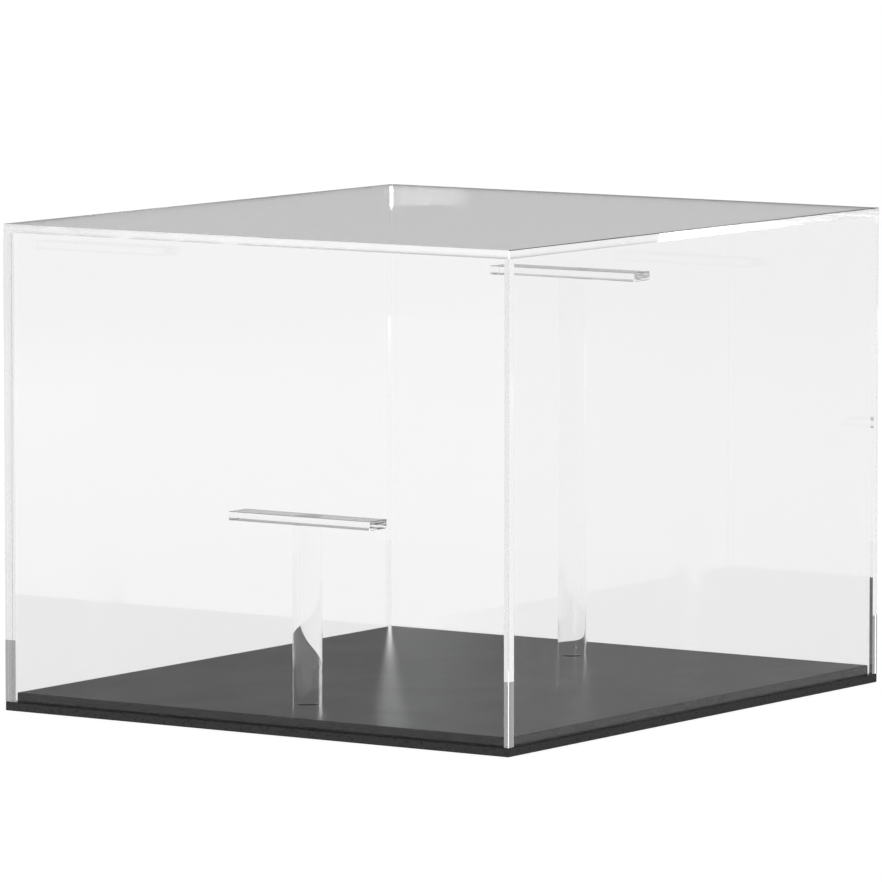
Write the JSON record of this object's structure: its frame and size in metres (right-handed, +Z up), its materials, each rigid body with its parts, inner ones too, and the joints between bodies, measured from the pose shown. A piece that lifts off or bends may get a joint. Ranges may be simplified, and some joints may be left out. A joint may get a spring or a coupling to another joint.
{
  "type": "display case",
  "caption": "Clear rectangular display case: a lift-off acrylic cover on a stepped black base, with a low front post and a tall rear post that each carry a flat rest bar.",
  "frame": {"origin": "centre of the base plate's underside, on the table", "axes": "+Z up; +Y towards the back, along the case's longer side, away from the low front post; +X to the right seen from the front"},
  "size_m": [0.267, 0.299, 0.215],
  "materials": {
    "black_acrylic": "black cast acrylic sheet, satin sheen, polished edges",
    "clear_rod": "clear extruded acrylic rod, polished",
    "clear_bar": "clear acrylic strip, polished edges",
    "clear_sheet": "clear cast acrylic sheet, polished edges"
  },
  "bodies": {
    "base": {"base_plate": "black_acrylic", "locating_plate": "black_acrylic", "front_post": "clear_rod", "rear_post": "clear_rod", "front_rest_bar": "clear_bar", "rear_rest_bar": "clear_bar"},
    "cover": {"cover_front": "clear_sheet", "cover_back": "clear_sheet", "cover_left": "clear_sheet", "cover_right": "clear_sheet", "cover_top": "clear_sheet"}
  },
  "joints": [
    {"name": "cover_lift", "type": "slide", "parent": "base", "child": "cover", "axis": [0, 0, 1], "range_m": [0, 0.215]}
  ]
}
